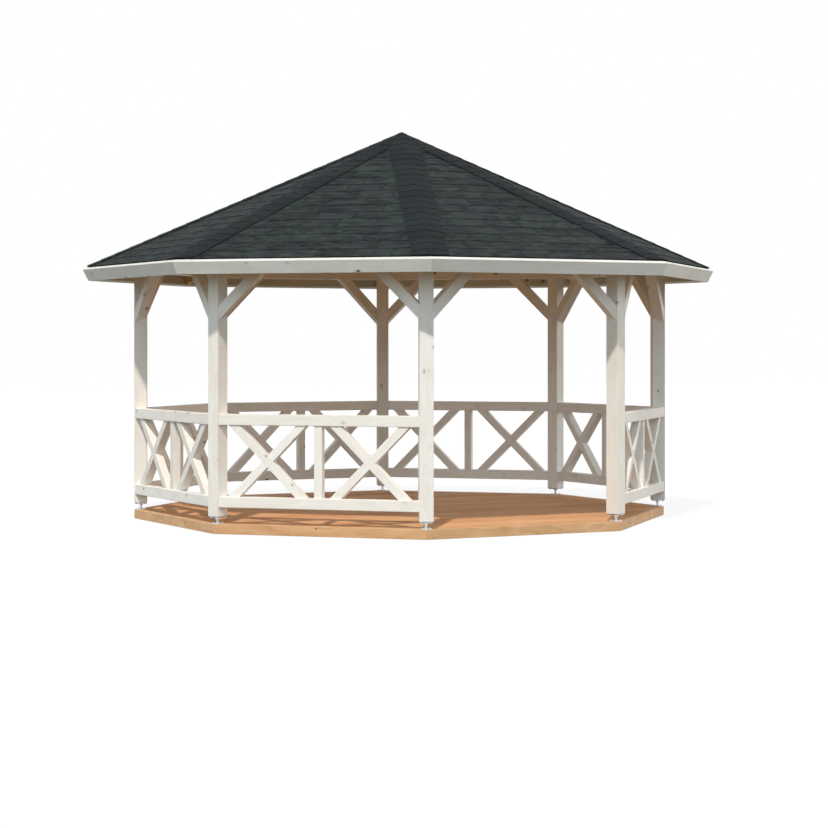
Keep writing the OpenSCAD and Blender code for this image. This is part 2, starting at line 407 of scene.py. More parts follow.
def bitumen(name, dark, pale, other, grit=10 * MM):
    """Slate-covered bitumen: dark, dull and gritty, with a tone for every tab and slate of two colours."""
    finish, tree, surface = new_finish(name)
    place = add(tree, "TexCoord").outputs["Object"]
    board = add(tree, "Attribute", attribute_name="board").outputs["Fac"]
    tab = add(tree, "Attribute", attribute_name="grain").outputs["Vector"]
    clumps = add(tree, "TexNoise", {"Vector": place, "Scale": 1 / grit, "Detail": 3.0, "Roughness": 0.7})
    speck = add(tree, "MapRange", {"Value": clumps.outputs["Fac"], "From Min": 0.3, "From Max": 0.7,
                                   "To Min": -GRIT_SHARE, "To Max": GRIT_SHARE})
    mixed = add(tree, "Math", {0: board, 1: TAB_SHARE, 2: speck.outputs[0]}, operation="MULTIPLY_ADD")
    drawn = add(tree, "Mapping", {"Vector": tab, "Scale": STREAKS})
    weather = add(tree, "TexNoise", {"Vector": drawn.outputs[0], "Scale": 1.0, "Detail": 3.0,
                                     "Roughness": 0.65})
    dust = add(tree, "MapRange", {"Value": weather.outputs["Fac"], "From Min": 0.32, "From Max": 0.68,
                                  "To Max": DUST_SHARE})
    aged = add(tree, "Math", {0: dust.outputs[0], 1: mixed.outputs[0]}, operation="ADD")
    drift = add(tree, "TexNoise", {"Vector": place, "Scale": CLOUDS, "Detail": 2.0})
    share = add(tree, "MapRange", {"Value": drift.outputs["Fac"], "From Min": 0.4, "From Max": 0.6})
    grains = add(tree, "Mix", {0: share.outputs[0], 6: colour(pale), 7: colour(other)}, data_type="RGBA")
    slate = add(tree, "Mix", {0: aged.outputs[0], 6: colour(dark), 7: grains.outputs[2]}, data_type="RGBA")
    tree.links.new(slate.outputs[2], surface.inputs["Base Color"])
    surface.inputs["Roughness"].default_value = 0.92
    surface.inputs["Specular IOR Level"].default_value = 0.1
    relief = add(tree, "Bump", {"Height": clumps.outputs["Fac"], "Strength": 0.5, "Distance": 2 * MM})
    tree.links.new(relief.outputs[0], surface.inputs["Normal"])
    return finish


# Slate grey with a breath of green, from near black to mid grey
roof_bitumen = bitumen("bitumen_shingle", dark="#111315", pale="#353f3c", other="#34373a")
# The caps come from bundles with bluer slate
cap_bitumen = bitumen("bitumen_hip_cap", dark="#0f1113", pale="#283030", other="#282b31")
print("bitumens", roof_bitumen.name, cap_bitumen.name)

# %% [markdown]
# ## Galvanised steel
# The feet and screws are dipped in molten zinc, which freezes in flat crystals, the spangle. Each crystal
# turns the light a little differently. One grey would look like paint, so a Voronoi texture gives each
# crystal of 14 mm its own tone and shine.

# %% Steel finish
def zinc(name, dark, pale, spangle=14 * MM):
    """Galvanised steel: pale grey metal with flat crystals of slightly different shine."""
    finish, tree, surface = new_finish(name)
    place = add(tree, "TexCoord").outputs["Object"]
    crystals = add(tree, "TexVoronoi", {"Vector": place, "Scale": 1 / spangle})
    lot = add(tree, "SeparateColor", {0: crystals.outputs["Color"]})
    metal = add(tree, "Mix", {0: lot.outputs[0], 6: colour(dark), 7: colour(pale)}, data_type="RGBA")
    tree.links.new(metal.outputs[2], surface.inputs["Base Color"])
    shine = add(tree, "MapRange", {"Value": lot.outputs[1], "To Min": 0.38, "To Max": 0.55})
    tree.links.new(shine.outputs[0], surface.inputs["Roughness"])
    surface.inputs["Metallic"].default_value = 1.0
    return finish


# Fresh zinc: bright, pale grey
steel = zinc("galvanised_steel", dark="#cfd2d4", pale="#eceeef")
# The plates under the posts are painted darker grey, as the shade under the post's end
shaded_plate_steel = zinc("galvanised_steel_painted_shade", dark="#8b9196", pale="#a6abaf")
print("finishes", len(bpy.data.materials))

# %% [markdown]
# ## The bench: holding and marking
# These helpers work with Blender's own operators. An operator works on all that is selected, so
# everything is deselected first and one piece is held at a time. Edges are picked by where their ends
# lie, as a joiner marks them out, because their numbers change with every cut.

# %% Holding and marking
def hold(piece):
    """Makes one piece the only selected one, and the active one."""
    bpy.ops.object.select_all(action="DESELECT")
    piece.select_set(True)
    bpy.context.view_layer.objects.active = piece


def open_edges(piece, test):
    """Opens a piece in edit mode with only those edges selected whose two ends pass the test."""
    hold(piece)
    bpy.ops.object.mode_set(mode="EDIT")
    bpy.ops.mesh.select_mode(type="EDGE")
    bpy.ops.mesh.select_all(action="DESELECT")
    bpy.ops.object.mode_set(mode="OBJECT")
    corners = piece.data.vertices
    for edge in piece.data.edges:
        edge.select = test(corners[edge.vertices[0]].co, corners[edge.vertices[1]].co)
    bpy.ops.object.mode_set(mode="EDIT")


print("selected so far", [piece.name for piece in bpy.context.selected_objects])

# %% [markdown]
# ## The bench: planing and laying
# A joiner planes a bar, eases its edges and carries it to its place, and these helpers do the same. A bar
# starts as a cube primitive that lies along X, and its four long edges are bevelled in edit mode. A Bevel
# modifier would ease the ends too, but they are sawn later and stay sharp.

# %% Planing and laying
EASE = 0.003


def planed(name, length, depth, width, ease=EASE):
    """A planed bar on the bench: length along X, depth along Y, width along Z, long edges eased."""
    bpy.ops.object.select_all(action="DESELECT")
    bpy.ops.mesh.primitive_cube_add(size=1, scale=(length, depth, width))
    bar = bpy.context.object
    bar.name = name
    bpy.ops.object.transform_apply(location=True, rotation=True, scale=True)
    open_edges(bar, lambda a, b: abs(a.x - b.x) > length / 2)
    bpy.ops.mesh.bevel(offset=ease, segments=2, affect="EDGES")
    bpy.ops.object.mode_set(mode="OBJECT")
    return bar


def lay(piece, matrix):
    """Carries a piece to its place, and keeps the place in its mesh."""
    hold(piece)
    piece.matrix_world = matrix
    bpy.ops.object.transform_apply(location=True, rotation=True, scale=True)
    return piece


def standing(along, out, middle):
    """Matrix that turns a bar's X along one direction and its Y to another, with its middle at a point."""
    along = along.normalized()
    out = out.normalized()
    matrix = Matrix((along, out, along.cross(out))).transposed().to_4x4()
    matrix.translation = middle
    return matrix


print("edges are eased by", EASE / MM, "mm")

# %% [markdown]
# ## The bench: sawing and chopping
# A saw cut is a bisect that fills the cut, and a joint is chopped out with a Boolean. A Boolean could do
# both, but a bisect needs no cutter and leaves fewer edges behind.

# %% Sawing and chopping
def edit_all(piece):
    """Opens a piece in edit mode with everything selected."""
    hold(piece)
    bpy.ops.object.mode_set(mode="EDIT")
    bpy.ops.mesh.select_all(action="SELECT")


def saw(piece, point, normal):
    """One flat saw cut through a point. The side that the normal points to falls off."""
    edit_all(piece)
    bpy.ops.mesh.bisect(plane_co=point, plane_no=normal, use_fill=True, clear_outer=True, threshold=1e-5)
    bpy.ops.object.mode_set(mode="OBJECT")


def chop(piece, cutter):
    """Takes a cutter's shape out of a piece, as a chisel would, and throws the cutter away."""
    hold(piece)
    notch = piece.modifiers.new("notch", "BOOLEAN")
    notch.operation = "DIFFERENCE"
    notch.solver = "EXACT"
    notch.object = cutter
    bpy.ops.object.modifier_apply(modifier=notch.name)
    bpy.data.objects.remove(cutter)


print("cutting tools", [tool.__name__ for tool in (saw, chop)])

# %% [markdown]
# ## The bench: rows and round pieces
# What repeats in a straight line is made once and repeated by an Array modifier, which keeps its spacing
# exact. A round piece starts as a cylinder primitive of its size, in its place. Pieces that are one thing
# on the real gazebo are joined.

# %% Rows and round pieces
def row(piece, count, step):
    """Repeats a piece in a straight row with an Array modifier."""
    hold(piece)
    repeat = piece.modifiers.new("row", "ARRAY")
    repeat.count = count
    repeat.use_relative_offset = False
    repeat.use_constant_offset = True
    repeat.constant_offset_displace = step
    bpy.ops.object.modifier_apply(modifier=repeat.name)


def join(pieces, name):
    """Joins pieces into one object."""
    hold(pieces[0])
    for piece in pieces:
        piece.select_set(True)
    bpy.ops.object.join()
    pieces[0].name = name
    return pieces[0]


def billet(name, sides, radius, low, high):
    """A round or many-sided billet on the Z axis, from one height to another."""
    bpy.ops.object.select_all(action="DESELECT")
    bpy.ops.mesh.primitive_cylinder_add(vertices=sides, radius=radius, depth=high - low,
                                        location=(0, 0, (low + high) / 2))
    piece = bpy.context.object
    piece.name = name
    bpy.ops.object.transform_apply(location=True, rotation=True, scale=True)
    return piece


print("making tools", [tool.__name__ for tool in (row, join, billet)])

# %% [markdown]
# ## Grain that stays with the board
# When a bar is finished, and before it is copied, its points get their grain coordinates: their place in
# the log that the board was sawn from. A fixed sequence of numbers stands in for chance, so that each run
# gives the same boards. A copy moves its grain to another part of the log, so no two posts show the same
# knots.

# %% Marking grain
# Boards are sawn from places up to 9 m apart along a log and 0.3 m apart across it
LOG_LENGTH = 9
LOG_WIDTH = 0.3
# A copy's grain lies 1.7 m further along the log and a little aside
COPY_STEP = 1.7
COPY_SIDE = 0.04
# Steps in the sequence from board to board, and in tone from copy to copy
NEXT_BOARD = 17
TONE_STEP = 0.618


def chance(number):
    """A fixed pick between 0 and 1 for every number."""
    return math.sin(number * 12.9898 + 4.1) * 43758.5453 % 1


def mark_grain(piece, along, log, across=(0, 0, 0), pitch=1.0):
    """Writes each point's place in its own board. In a row of boards, across and pitch tell them apart."""
    along = along.normalized()
    side = along.orthogonal().normalized()
    up = along.cross(side)
    across = Vector(across)
    places = []
    tones = []
    for point in piece.data.vertices:
        board = log + NEXT_BOARD * math.floor(point.co.dot(across) / pitch)
        places += [point.co.dot(along) + LOG_LENGTH * chance(board),
                   point.co.dot(side) + LOG_WIDTH * (chance(board + 0.3) - 0.5),
                   point.co.dot(up) + LOG_WIDTH * (chance(board + 0.6) - 0.5)]
        tones.append(chance(board + 0.9))
    piece.data.attributes.new("grain", "FLOAT_VECTOR", "POINT").data.foreach_set("vector", places)
    piece.data.attributes.new("board", "FLOAT", "POINT").data.foreach_set("value", tones)


def fresh_grain(piece, number):
    """Moves a copy's grain along the log and changes its tones."""
    grain = piece.data.attributes["grain"].data
    board = piece.data.attributes["board"].data
    shift = Vector((COPY_STEP * number, COPY_SIDE * chance(number), COPY_SIDE * chance(number + 0.5)))
    for place, tone in zip(grain, board):
        place.vector = Vector(place.vector) + shift
        tone.value = (tone.value + TONE_STEP * number) % 1


print("chance", round(chance(1), 3), round(chance(2), 3))

# %% [markdown]
# ## Copies
# A copy is turned round the middle of the gazebo and keeps its own mesh, so that it can have its own
# grain. Linked copies would be lighter, but would all look the same.

# %% Copying
def copies_round(piece, turns, start=0):
    """Copies a piece round the middle of the gazebo, once for each turn, and returns the copies."""
    made = []
    for number, turn in enumerate(turns):
        hold(piece)
        bpy.ops.object.duplicate()
        twin = lay(bpy.context.object, Matrix.Rotation(turn, 4, "Z"))
        fresh_grain(twin, start + number)
        made.append(twin)
    bpy.data.objects.remove(piece)
    return made


print("turns", [round(math.degrees(turn), 1) for turn in corner_turns.values()])

# %% [markdown]
# ## Dressing a piece
# A finished piece is dressed: its faces are turned outwards, it gets its finish, and it takes the place
# of the frame's plain nodes. Shading all of it smooth would smear light over flat sides. So only edges of
# less than 20 degrees are smooth, which rounds the steel and leaves the eased edges of the timber crisp.

# %% Dressing
SMOOTH_ANGLE = math.radians(20)


def dress(piece, name, finish, slot, *nodes):
    """Names a finished piece, gives it its finish, and puts it in place of the frame's plain nodes."""
    edit_all(piece)
    bpy.ops.mesh.normals_make_consistent(inside=False)
    bpy.ops.object.mode_set(mode="OBJECT")
    bpy.ops.object.shade_smooth_by_angle(angle=SMOOTH_ANGLE)
    piece.name = name
    piece.data.name = name
    piece.data.materials.clear()
    piece.data.materials.append(finish)
    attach(piece, "root")
    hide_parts(*nodes)
    print(name, len(piece.data.polygons), "faces")


def dress_round(piece, turns, name, finish, slot, node, start=0):
    """Copies a piece to all bays or corners, and dresses each copy in place of the node there."""
    for place, twin in zip(turns, copies_round(piece, turns.values(), start)):
        dress(twin, name + place, finish, slot, node + place)


def dress_ring(piece, turns, name, finish, slot, *nodes):
    """Copies a piece to all bays or corners, and dresses the copies as one piece."""
    dress(join(copies_round(piece, turns.values()), name), name, finish, slot, *nodes)


print("smooth up to", round(math.degrees(SMOOTH_ANGLE)), "degrees")

# %% [markdown]
# ## Decking
# The deck is 31 boards side by side with 5 mm gaps, cut off along the eight sides. It could be one slab
# with lines drawn on it, but gaps and eased edges catch real shadow. One board is planed, an Array lays
# the row, and eight saw cuts trim the row to the octagon.

# %% Deck boards
DECK_BOARDS = 31
BOARD_GAP = 0.005
# Bars start a tenth too long and are sawn off
SPARE = 1.1
deck_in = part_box("deck_boards")[1].x
deck_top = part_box("deck_boards")[1].z
joist_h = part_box("deck_joists")[1].z
board_t = deck_top - joist_h
# The row is a little wider than the deck, and the outermost boards are ripped to fit
board_pitch = (2 * deck_in + BOARD_GAP + 4 * EASE) / DECK_BOARDS
first_y = -(DECK_BOARDS - 1) / 2 * board_pitch


def trim_to_octagon(piece, flat):
    """Saws a piece off along the eight sides of an octagon, at the given distance of its flats."""
    for turn in bay_turns.values():
        normal = Vector((math.cos(turn), math.sin(turn), 0))
        saw(piece, normal * flat, normal)


decking = planed("decking", 2 * SPARE * deck_in, board_pitch - BOARD_GAP, board_t)
lay(decking, Matrix.Translation((0, first_y, deck_top - board_t / 2)))
row(decking, DECK_BOARDS, (0, board_pitch, 0))
mark_grain(decking, OUT, log=3, across=ALONG, pitch=board_pitch)
trim_to_octagon(decking, deck_in)
dress(decking, "deck_planks", deck_larch, "brown_deck_timber", "deck_boards")

# %% [markdown]
# ## Joists
# Nine joists on edge carry the boards and stand on the ground. They are hardly seen, so a block would do,
# but they show in the gaps and from below. They are made as the boards are: one bar, a row, and eight
# cuts.

# %% Joists
JOIST_W = 0.045
JOIST_PITCH = 0.480
JOISTS = 9
first_x = -(JOISTS - 1) / 2 * JOIST_PITCH

joists = planed("joists", 2 * SPARE * deck_in, JOIST_W, joist_h)
lay(joists, standing(ALONG, OUT, (first_x, 0, joist_h / 2)))
row(joists, JOISTS, (JOIST_PITCH, 0, 0))
mark_grain(joists, ALONG, log=5, across=OUT, pitch=JOIST_PITCH)
trim_to_octagon(joists, deck_in)
dress(joists, "joist_row", deck_larch, "brown_deck_timber", "deck_joists")

# %% [markdown]
# ## Rim boards
# Eight rim boards with mitred corners close the edge of the deck. A mitre is a saw cut along the upright
# plane between two bays, so one pair of cuts serves every ring of timbers: the rim here, and later the
# beams, the fascia and the roof. One board is made for the bay that points along X.

# %% Rim boards
# Room that is left in a joint
GAP = 0.0003
rim_in = deck_in + GAP
rim_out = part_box("deck_rim_boards")[1].x


def bay_end(side):
    """Direction square to the upright plane at one end of a bay (1 or -1), away from the bay."""
    return Vector((-math.sin(HALF), side * math.cos(HALF), 0))


def cut_ends(piece, back):
    """Saws both ends of a bay's piece parallel to the planes between the bays, back from those planes."""
    for side in (-1, 1):
        saw(piece, bay_end(side) * -back, bay_end(side))


rim = planed("rim", rim_out, rim_out - rim_in, deck_top)
lay(rim, standing(ALONG, OUT, ((rim_out + rim_in) / 2, 0, deck_top / 2)))
cut_ends(rim, GAP)
mark_grain(rim, ALONG, log=8)
dress_ring(rim, bay_turns, "mitred_rim", rim_larch, "brown_deck_timber", "deck_rim_boards")

# %% [markdown]
# ## Deck screws
# Two screws hold every board on every joist, nearly five hundred in all. One head is modelled with few
# faces: a disc whose top is inset and pushed down for the driver. Three Arrays make the grid, and heads
# that fall outside the deck are selected by their place and deleted.

# %% Screw heads
SCREW_SIDES = 8
SCREW_R = 0.0045
SCREW_H = 0.002
SCREW_PROUD = 0.0003
SCREW_EDGE = 0.035
# The rim, slope and depth of the drive, as shares of the head's radius and height
DRIVE_RIM, DRIVE_SLOPE, DRIVE_DEPTH = 0.45, 0.1, 0.6
screw_y = (board_pitch - BOARD_GAP) / 2 - SCREW_EDGE


def outside(point, flat):
    """True where a point lies beyond the sides of an octagon."""
    return any(point.x * math.cos(turn) + point.y * math.sin(turn) > flat for turn in bay_turns.values())


screws = billet("screws", SCREW_SIDES, SCREW_R, -SCREW_H / 2, SCREW_H / 2)
open_edges(screws, lambda a, b: a.z > 0 and b.z > 0)
bpy.ops.mesh.select_mode(type="FACE")
bpy.ops.mesh.inset(thickness=SCREW_R * DRIVE_RIM, depth=0)
bpy.ops.mesh.inset(thickness=SCREW_R * DRIVE_SLOPE, depth=-SCREW_H * DRIVE_DEPTH)
bpy.ops.object.mode_set(mode="OBJECT")
lay(screws, Matrix.Translation((first_x, first_y - screw_y, deck_top - SCREW_H / 2 + SCREW_PROUD)))
row(screws, 2, (0, 2 * screw_y, 0))
row(screws, DECK_BOARDS, (0, board_pitch, 0))
row(screws, JOISTS, (JOIST_PITCH, 0, 0))
open_edges(screws, lambda a, b: outside(a, deck_in - SCREW_EDGE / 2))
bpy.ops.mesh.select_linked()
bpy.ops.mesh.delete(type="VERT")
bpy.ops.object.mode_set(mode="OBJECT")
dress(screws, "deck_screws", steel, "galvanised_steel")

# %% [markdown]
# ## Turned steel
# Rods, nuts and bolts are turned or pressed from steel bar, and their rims are chamfered. A plain
# cylinder would have a rim that catches no light. So one helper bevels both rims, and with six sides it
# makes a hexagon head as well.

# %% Turned pieces
HEX_SIDES = 6
BOLT_W, BOLT_H, BOLT_RIM = 0.013, 0.005, 0.0008


def turned(name, sides, radius, low, high, rim):
    """A round or many-sided steel piece on the foot's axis, with both rims chamfered."""
    piece = billet(name, sides, radius, low, high)
    open_edges(piece, lambda a, b: abs(a.z - b.z) < 1e-5)
    bpy.ops.mesh.bevel(offset=rim, segments=1, affect="EDGES")
    bpy.ops.object.mode_set(mode="OBJECT")
    return piece


def hexagon(width):
    """Radius to the corners of a hexagon of that width across its flats."""
    return width / 2 / math.cos(math.radians(30))


def bolt_heads(reach, low):
    """Four hexagon heads round the foot's axis."""
    heads = []
    for number in range(4):
        head = turned("bolt", HEX_SIDES, hexagon(BOLT_W), low, low + BOLT_H, BOLT_RIM)
        quarter = math.radians(45 + 90 * number)
        lay(head, Matrix.Translation((reach * math.cos(quarter), reach * math.sin(quarter), 0)))
        heads.append(head)
    return heads


print("a bolt head reaches", round(hexagon(BOLT_W) / MM, 2), "mm from its middle")

# %% [markdown]
# ## One steel post foot
# Each post stands on an adjustable foot, so that rain can run off under it: a round plate screwed to the
# deck, a threaded rod, a nut to set the height and a square plate under the post. The thread is a row of
# one-pitch rings with chamfered rims, which looks the same as a helix at this size and stays light.

# %% Post foot
ROUND_SIDES, ROD_SIDES = 40, 20
# Radius or width of each piece, its height and its chamfer
BASE_R, BASE_T, BASE_RIM = 0.054, 0.006, 0.0015
ROD_R, THREAD, THREAD_RIM = 0.012, 0.003, 0.0012
COLLAR_R, COLLAR_RIM = 0.016, 0.0008
NUT_W, NUT_H, NUT_RIM = 0.036, 0.018, 0.0022
HEAD_W, HEAD_T, HEAD_RIM = 0.110, 0.012, 0.0012
# How far the bolts are from the foot's axis
BASE_BOLTS, HEAD_BOLTS = 0.040, 0.058
post_low, post_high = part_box("post_right_back")
base_top = deck_top + BASE_T
head_low = post_low.z - HEAD_T
nut_low = head_low - NUT_H
threads = int((nut_low - base_top) / THREAD)
rod_low = nut_low - threads * THREAD

base = turned("base", ROUND_SIDES, BASE_R, deck_top, base_top, BASE_RIM)
thread = turned("thread", ROD_SIDES, ROD_R, rod_low, rod_low + THREAD, THREAD_RIM)
row(thread, threads, (0, 0, THREAD))
collar = turned("collar", ROD_SIDES, COLLAR_R, base_top, rod_low, COLLAR_RIM)
nut = turned("nut", HEX_SIDES, hexagon(NUT_W), nut_low, head_low, NUT_RIM)
bolts = bolt_heads(BASE_BOLTS, base_top) + bolt_heads(HEAD_BOLTS, head_low - BOLT_H)
foot = join([base, thread, collar, nut] + bolts, "foot")
plate = planed("plate", HEAD_W, HEAD_W, HEAD_T, HEAD_RIM)
lay(plate, Matrix.Translation((0, 0, post_low.z - HEAD_T / 2)))
print("foot", threads, "threads", len(foot.data.polygons), "faces")

# %% [markdown]
# ## Eight feet
# The foot stands under the middle of a post, so it is moved out to the post ring and copied to the corners.
# The head plates are a piece of their own, because their zinc is painted darker as shade under the posts.

# %% Feet at the corners
post_ring = ((post_low + post_high) / 2).xy.length

for number, piece in enumerate((foot, plate)):
    lay(piece, Matrix.Translation((post_ring, 0, 0)))
    mark_grain(piece, UP, log=11 + number)
dress_ring(foot, corner_turns, "steel_post_feet", steel, "galvanised_steel", "post_feet")
# The head plates take the zinc that is painted darker grey as shade
dress_ring(plate, corner_turns, "foot_head_plates", shaded_plate_steel, "galvanised_steel")

# %% [markdown]
# ## Posts
# Eight square posts of planed spruce stand with one face square to the radius. A stretched cube would
# have knife edges. So one is planed with a wider ease on its edges, which takes the sharpness out of its
# outline, stood up, and copied to the eight corners.

# %% Posts
POST = 0.120
STOUT_EASE = 0.004

post = planed("post", post_high.z - post_low.z, POST, POST, STOUT_EASE)
lay(post, standing(UP, ALONG, (post_ring, 0, (post_low.z + post_high.z) / 2)))
mark_grain(post, UP, log=13)
dress_round(post, corner_turns, "square_post_", white_spruce, "white_stained_spruce", "post_", start=6)

# %% [markdown]
# ## Crossed balustrades
# Each railed bay has a handrail, a bottom rail, a middle stile and two crosses. The bars of a cross lie
# in one plane, so each loses half its depth where they meet: a half lap. Seen from outside, the bar that
# falls to the right runs through in front. Overlapping two bars would be quicker, but the lap shows as
# fine lines on the real one. The rails are cut to the slanting sides of the posts, and the bars are cut
# level between the rails.

# %% Rails and bars
RAIL_H = 0.095
RAIL_EASE = 0.005
BAR = 0.072
LAP_ROOM = 0.0004
POST_SIDE = POST / 2 + GAP
rail_low, rail_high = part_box("balustrade_right")
rail_line = (rail_low.x + rail_high.x) / 2
rail_t = rail_high.x - rail_low.x
bars_low = rail_low.z + RAIL_H
bars_high = rail_high.z - RAIL_H
bars_middle = (bars_low + bars_high) / 2
clear_half = rail_line * math.tan(HALF) - POST_SIDE / math.cos(HALF)
cross_y = (clear_half + BAR / 2) / 2


def rail(middle_z, log):
    """A rail from post to post."""
    piece = planed("rail", 2 * SPARE * clear_half, rail_t, RAIL_H, RAIL_EASE)
    lay(piece, standing(ALONG, OUT, (rail_line, 0, middle_z)))
    cut_ends(piece, POST_SIDE)
    mark_grain(piece, ALONG, log)
    return piece


def cross_bar(fall, middle_y, log):
    """A bar of a cross that falls to the right (1) or to the left (-1), with its half lap chopped out."""
    along = ALONG - UP * fall
    other = ALONG + UP * fall
    middle = Vector((rail_line, middle_y, bars_middle))
    piece = lay(planed("bar", 2 * (bars_high - bars_low), BAR, BAR), standing(along, OUT, middle))
    saw(piece, (0, 0, bars_high), UP)
    saw(piece, (0, 0, bars_low), -UP)
    lap = planed("lap", 3 * BAR, BAR, BAR + LAP_ROOM, LAP_ROOM / 4)
    lay(lap, standing(other, OUT, middle - OUT * fall * BAR / 2))
    chop(piece, lap)
    mark_grain(piece, along, log)
    return piece


print("clear between the posts", round(2 * clear_half, 3), "m")

# %% [markdown]
# ## One balustrade
# The stile stands in the middle, with a cross on each side. All pieces are made in their places and
# joined, because a balustrade is screwed together in the workshop and put up as one panel.

# %% One balustrade
stile = planed("stile", bars_high - bars_low, BAR, BAR)
lay(stile, standing(UP, OUT, (rail_line, 0, bars_middle)))
mark_grain(stile, UP, log=21)
parts = [rail(rail_high.z - RAIL_H / 2, log=22), rail(rail_low.z + RAIL_H / 2, log=23), stile]
for number, (side, fall) in enumerate([(-1, 1), (-1, -1), (1, 1), (1, -1)]):
    parts.append(cross_bar(fall, side * cross_y, log=24 + number))
balustrade = join(parts, "balustrade")
print("balustrade", len(parts), "pieces", len(balustrade.data.vertices), "points")

# %% [markdown]
# ## Balustrades of seven bays
# The front bay is the way in and stays open. The other seven get a copy each.

# %% Seven balustrades
railed_turns = {bay: turn for bay, turn in bay_turns.items() if bay != "front"}
dress_round(balustrade, railed_turns, "crossed_balustrade_", white_spruce, "white_stained_spruce",
            "balustrade_")

# %% [markdown]
# ## Beams
# Eight beams lie on the posts and tie them into a ring, mitred over the middles of the posts. A ring
# could be made in one piece from an octagon, but its grain would run across some sides. One beam is
# planed, mitred and copied.

# %% Beams
beam_low, beam_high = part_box("beam_right")

beam = planed("beam", beam_high.x, beam_high.x - beam_low.x, beam_high.z - beam_low.z, STOUT_EASE)
lay(beam, standing(ALONG, OUT, ((beam_low.x + beam_high.x) / 2, 0, (beam_low.z + beam_high.z) / 2)))
cut_ends(beam, GAP)
mark_grain(beam, ALONG, log=31)
dress_round(beam, bay_turns, "ring_beam_", white_spruce, "white_stained_spruce", "beam_")

# %% [markdown]
# ## Knee braces
# A pair of knee braces in each bay stiffens the corner between post and beam. A brace leans at 45
# degrees, and because the posts stand at an angle to the bay, its foot is a compound cut: it takes the
# plane of the post's side, while its head is cut level under the beam. Both are saw cuts through a bar
# that is left long.

# %% Knee braces
BRACE_W = 0.090
BRACE_T = 0.095
# The lowest point of a brace is on its outer face, where the bay between the posts is widest
brace_foot_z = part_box("knee_braces")[0].z + BRACE_T / 2 * math.tan(HALF)


def knee_brace(side, log):
    """A brace against the post at one end of the bay (1 or -1)."""
    along = UP - ALONG * side
    square = UP + ALONG * side
    heel = Vector((rail_line, side * clear_half, brace_foot_z))
    piece = planed("brace", 3 * (beam_low.z - brace_foot_z), BRACE_T, BRACE_W)
    lay(piece, standing(along, OUT, heel + square.normalized() * BRACE_W / 2))
    saw(piece, bay_end(side) * -POST_SIDE, bay_end(side))
    saw(piece, (0, 0, beam_low.z), UP)
    mark_grain(piece, along, log)
    return piece


braces = copies_round(knee_brace(1, log=41), bay_turns.values())
braces += copies_round(knee_brace(-1, log=42), bay_turns.values(), start=9)
dress(join(braces, "braces"), "corner_braces", white_spruce, "white_stained_spruce", "knee_braces")

# %% [markdown]
# ## Planes of the roof
# All eight faces of the roof meet in one point, and everything on the roof is measured from it. The
# fascia's box gives the eave, and the pitch does the rest. A hip, the corner between two faces, is longer
# than a face and so less steep. The directions below belong to a hip that points along X.

# %% Roof planes
PITCH = math.radians(25)
HIP_SLOPE = math.atan(math.tan(PITCH) * math.cos(HALF))
FASCIA_T = 0.045
ROOF_BOARD_T = 0.019
eave_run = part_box("fascia_boards")[1].x / math.cos(PITCH)
fascia_run = eave_run - FASCIA_T
roof_apex = Vector((0, 0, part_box("fascia_boards")[1].z + math.sin(PITCH) * fascia_run))
soffit_apex = roof_apex - UP * ROOF_BOARD_T / math.cos(PITCH)
eave_half = eave_run * math.cos(PITCH) * math.tan(HALF)
down_hip = Vector((math.cos(HIP_SLOPE), 0, -math.sin(HIP_SLOPE)))


def face_out(side):
    """Level direction out from the roof face on one side of a hip (1 or -1)."""
    return Vector((math.cos(HALF), side * math.sin(HALF), 0))


def face_square(side):
    """Direction square to that roof face."""
    return face_out(side) * math.sin(PITCH) + UP * math.cos(PITCH)


def face_down(side):
    """Direction straight down that roof face."""
    return face_out(side) * math.cos(PITCH) - UP * math.sin(PITCH)


print("apex", round(roof_apex.z, 4), "eave run", round(eave_run, 4))

# %% [markdown]
# ## Hip rafters
# A hip rafter runs under a hip, from the eave to the hub at the top. Its upper side is backed: planed to
# two slopes, so that boards from both faces lie flat on it. Where it crosses the beams it has a bird's
# mouth, a notch with the shape of the beams' corner. Two saw cuts do the backing, and a Boolean with the
# ring of beams cuts the notch, which is how it is marked on site as well.

# %% Rafters
RAFTER_W = 0.070
RAFTER_D = 0.108
HUB_W = 0.200
# The cutter for the notch reaches well below the rafter's end
RING_H = 1.0

# The bar's middle lies in the underside of the roof boards, and the two slopes take off its upper half
rafter = planed("rafter", 2 * eave_run, RAFTER_W, 2 * RAFTER_D)
lay(rafter, standing(down_hip, ALONG, soffit_apex + down_hip * eave_run / 2))
saw(rafter, (HUB_W / 2 + GAP, 0, 0), -OUT)
for side in (-1, 1):
    saw(rafter, soffit_apex, face_square(side))
    saw(rafter, roof_apex + face_down(side) * (fascia_run - GAP), face_down(side))
ring_r = (beam_high.x + GAP) / math.cos(HALF)
chop(rafter, billet("beam_ring", SIDES, ring_r, beam_high.z - RING_H, beam_high.z))
mark_grain(rafter, down_hip, log=51)
dress_ring(rafter, corner_turns, "backed_hip_rafters", bare_spruce, "natural_spruce", "hip_rafters")

# %% [markdown]
# ## Hub
# The rafters lean on an eight-sided block, one on each side. Its lower rim is bevelled, because that is
# the end that shows from below.

# %% Hub
HUB_BEVEL = 0.014
hub_low, hub_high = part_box("roof_hub")

hub = billet("hub", SIDES, HUB_W / 2 / math.cos(HALF), hub_low.z, hub_high.z)
open_edges(hub, lambda a, b: max(a.z, b.z) < (hub_low.z + hub_high.z) / 2)
bpy.ops.mesh.bevel(offset=HUB_BEVEL, segments=2, affect="EDGES")
bpy.ops.object.mode_set(mode="OBJECT")
mark_grain(hub, UP, log=53)
dress(hub, "rafter_hub", bare_spruce, "natural_spruce", "roof_hub")

